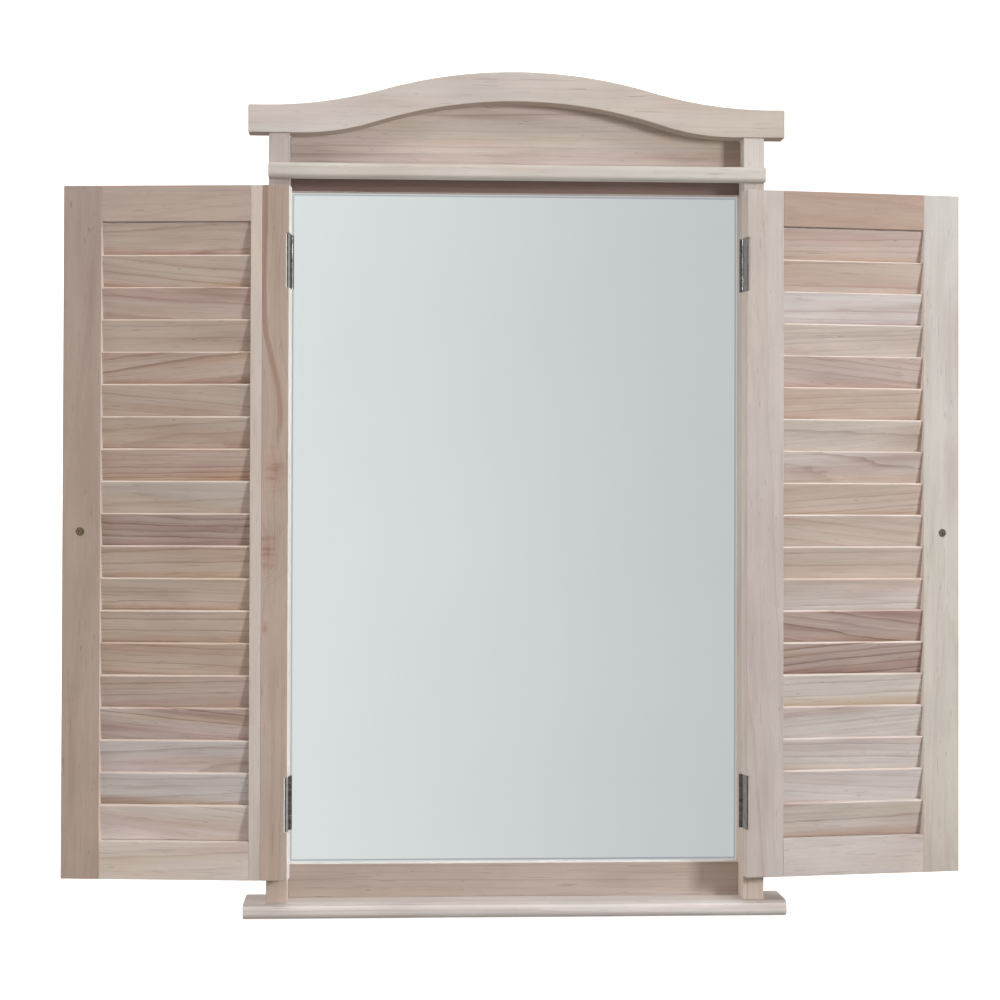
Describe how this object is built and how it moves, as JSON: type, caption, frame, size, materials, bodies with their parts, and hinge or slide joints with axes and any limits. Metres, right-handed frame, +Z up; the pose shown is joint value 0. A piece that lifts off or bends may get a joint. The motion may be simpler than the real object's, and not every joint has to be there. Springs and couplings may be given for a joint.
{
  "type": "shutter mirror",
  "caption": "Wall mirror in a raw wooden frame with an arched cornice and a sill, covered by a pair of hinged louvred shutters.",
  "frame": {"origin": "middle of the sill's back face at its lower edge: the wall plane is Y = 0 and the sill's underside is Z = 0", "axes": "+Z up, -Y out from the wall towards the viewer, +X to the viewer's right; the shutters are stored open, as pictured"},
  "size_m": [0.7571, 0.065, 0.7103],
  "materials": {
    "post_wood": "raw sanded paulownia, matt",
    "pale_wood": "raw sanded paulownia, pale, matt",
    "shaded_wood": "raw sanded paulownia, browner, matt",
    "slat_wood": "raw sanded paulownia, matt",
    "dowel_wood": "beech dowel, matt",
    "hardboard": "brown hardboard, smooth face out",
    "silvered_glass": "silvered float glass",
    "steel": "bright plated sheet steel",
    "dark_zinc": "dark yellow-passivated screw"
  },
  "bodies": {
    "cabinet": {"sill": "pale_wood", "left_post": "post_wood", "right_post": "post_wood", "bottom_rail": "shaded_wood", "top_rail": "shaded_wood", "batten": "pale_wood", "cornice": "pale_wood", "pediment_panel": "post_wood", "mirror_glass": "silvered_glass", "backing_board": "hardboard", "glazing_sprigs": "steel", "frame_dowels": "dowel_wood", "cornice_dowels": "dowel_wood", "batten_dowels": "dowel_wood", "sill_screws": "dark_zinc", "panel_nails": "steel", "left_hanger_plate": "steel", "right_hanger_plate": "steel", "hanger_screws": "dark_zinc", "left_upper_post_leaf": "steel", "left_lower_post_leaf": "steel", "right_upper_post_leaf": "steel", "right_lower_post_leaf": "steel", "left_upper_hinge_pin": "steel", "left_lower_hinge_pin": "steel", "right_upper_hinge_pin": "steel", "right_lower_hinge_pin": "steel", "left_post_leaf_screws": "dark_zinc", "right_post_leaf_screws": "dark_zinc"},
    "left_shutter": {"left_hinge_stile": "post_wood", "left_stile_strip": "post_wood", "left_free_stile": "pale_wood", "left_shutter_top_rail": "slat_wood", "left_shutter_bottom_rail": "slat_wood", "left_slats": "slat_wood", "left_shutter_dowels": "dowel_wood", "left_upper_shutter_leaf": "steel", "left_lower_shutter_leaf": "steel", "left_shutter_leaf_screws": "dark_zinc", "left_knob": "pale_wood", "left_knob_screw": "dark_zinc"},
    "right_shutter": {"right_hinge_stile": "post_wood", "right_free_stile": "pale_wood", "right_shutter_top_rail": "slat_wood", "right_shutter_bottom_rail": "slat_wood", "right_slats": "slat_wood", "right_shutter_dowels": "dowel_wood", "right_upper_shutter_leaf": "steel", "right_lower_shutter_leaf": "steel", "right_shutter_leaf_screws": "dark_zinc", "right_knob": "pale_wood", "right_knob_screw": "dark_zinc"}
  },
  "joints": [
    {"name": "left_shutter_hinge", "type": "hinge", "parent": "cabinet", "child": "left_shutter", "pos_m": [-0.1895, -0.047, 0.3225], "axis": [0, 0, 1], "range_deg": [-4.5, 186]},
    {"name": "right_shutter_hinge", "type": "hinge", "parent": "cabinet", "child": "right_shutter", "pos_m": [0.1895, -0.047, 0.3225], "axis": [0, 0, -1], "range_deg": [-1.5, 189]}
  ]
}
